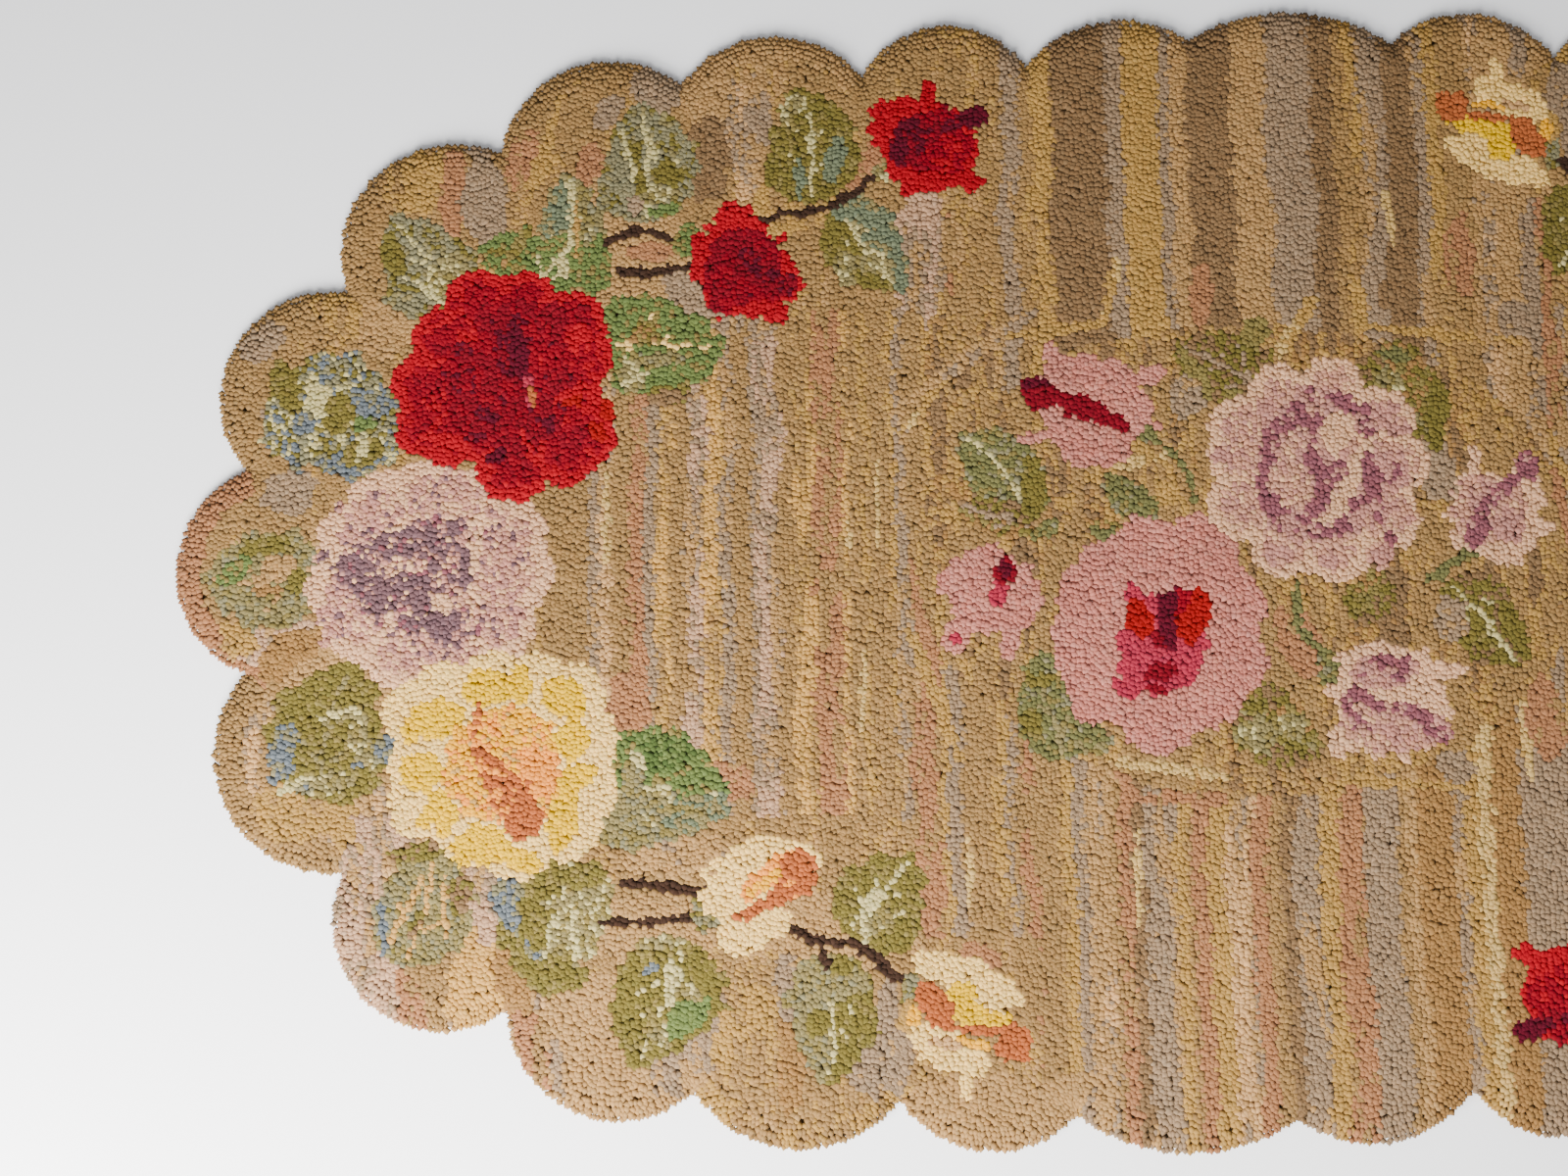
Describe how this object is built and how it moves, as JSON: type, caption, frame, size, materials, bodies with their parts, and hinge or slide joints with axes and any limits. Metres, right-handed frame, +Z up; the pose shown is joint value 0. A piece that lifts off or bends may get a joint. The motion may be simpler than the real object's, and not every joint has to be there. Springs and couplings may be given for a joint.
{
  "type": "hooked rug",
  "caption": "Long oval hooked wool rug with a scalloped edge and a dense looped pile, worked with roses, buds and leaves on a striped tan ground.",
  "frame": {"origin": "on the floor under the middle of the rug, at the centre of the underside's bounding box", "axes": "+X along the rug's length, +Y across it towards the edge that is at the top of the picture, +Z up out of the pile"},
  "size_m": [1.5254, 0.8266, 0.009],
  "materials": {
    "wool_pile": "matt",
    "foundation_cloth": "matt"
  },
  "bodies": {
    "root": {"hooked_rug": "wool_pile"}
  },
  "joints": []
}
